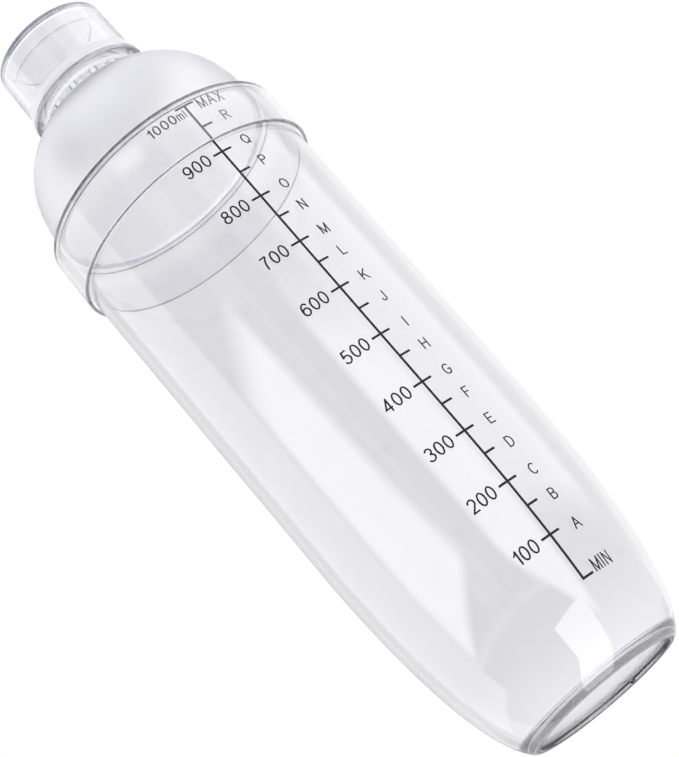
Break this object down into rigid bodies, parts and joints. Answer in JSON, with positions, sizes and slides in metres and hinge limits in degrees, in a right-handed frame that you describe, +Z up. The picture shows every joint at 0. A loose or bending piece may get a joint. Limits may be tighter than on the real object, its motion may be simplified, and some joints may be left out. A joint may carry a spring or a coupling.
{
  "type": "cocktail shaker",
  "caption": "Clear plastic cocktail shaker: bullet-shaped cup with a printed measuring scale, frosted dome top with collar and strainer, and a push-on cap.",
  "frame": {"origin": "centre of the flat foot ring that the cup stands on", "axes": "+Z up the shaker's axis towards the cap, -Y out through the middle of the printed scale"},
  "size_m": [0.0892, 0.0892, 0.2837],
  "materials": {
    "clear_plastic": "clear, polished",
    "frosted_plastic": "clear, with a fine frosted texture on the dome",
    "printed_ink": "screen-printed black ink"
  },
  "bodies": {
    "cup": {"cup": "clear_plastic"},
    "strainer_top": {"dome_collar": "frosted_plastic", "strainer_neck": "clear_plastic"},
    "cap": {"cap": "clear_plastic"}
  },
  "joints": [
    {"name": "top_lift", "type": "slide", "parent": "cup", "child": "strainer_top", "axis": [0, 0, 1], "range_m": [0, 0.04]},
    {"name": "cap_lift", "type": "slide", "parent": "strainer_top", "child": "cap", "axis": [0, 0, 1], "range_m": [0, 0.035]}
  ]
}
